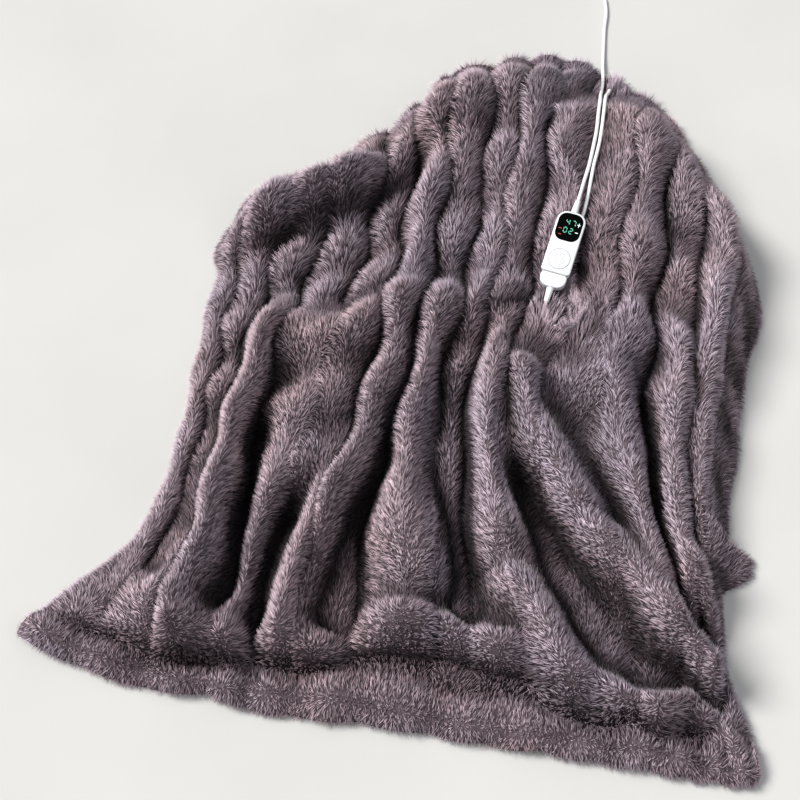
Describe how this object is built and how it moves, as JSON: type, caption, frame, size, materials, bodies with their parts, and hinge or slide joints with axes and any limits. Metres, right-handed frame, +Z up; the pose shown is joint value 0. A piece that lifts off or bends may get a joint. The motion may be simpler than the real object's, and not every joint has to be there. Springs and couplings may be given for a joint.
{
  "type": "electric heated blanket",
  "caption": "Plush ribbed heated throw lying rumpled in soft folds, with a white wired hand controller that has a display and a round key pad, and its cable wound up beside it.",
  "frame": {"origin": "floor level, under the middle of the cloth's outline", "axes": "+Z up from the floor; +Y from the hem to the top edge, where the mains lead leaves; +X to the right as the hem faces the viewer"},
  "size_m": [1.1507, 1.5927, 0.1478],
  "materials": {
    "plush": "long soft pile, mauve grey",
    "white_plastic": "glossy white",
    "key_plastic": "satin pale grey",
    "display_black": "glossy black window",
    "lead_white": "satin white cable sheath",
    "pin_metal": "plated blades"
  },
  "bodies": {
    "blanket": {"blanket": "plush", "controller_base": "white_plastic", "controller_shell": "white_plastic", "controller_end_cap": "white_plastic", "display_window": "display_black", "mains_relief": "white_plastic", "blanket_relief": "white_plastic", "mains_lead": "lead_white", "blanket_lead": "lead_white", "blanket_gland": "white_plastic", "mains_coil": "lead_white", "mains_tail": "lead_white", "plug_neck": "white_plastic", "plug_body": "white_plastic", "plug_pin_left": "pin_metal", "plug_pin_right": "pin_metal"},
    "key_ring": {"key_ring": "key_plastic"},
    "key_centre": {"key_centre": "key_plastic"}
  },
  "joints": [
    {"name": "key_ring_press", "type": "slide", "parent": "blanket", "child": "key_ring", "axis": [0.0897, 0.2606, -0.9613], "range_m": [0, 0.0008], "stiffness_N_per_m": 400},
    {"name": "key_centre_press", "type": "slide", "parent": "blanket", "child": "key_centre", "axis": [0.0897, 0.2606, -0.9613], "range_m": [0, 0.0008], "stiffness_N_per_m": 400}
  ]
}
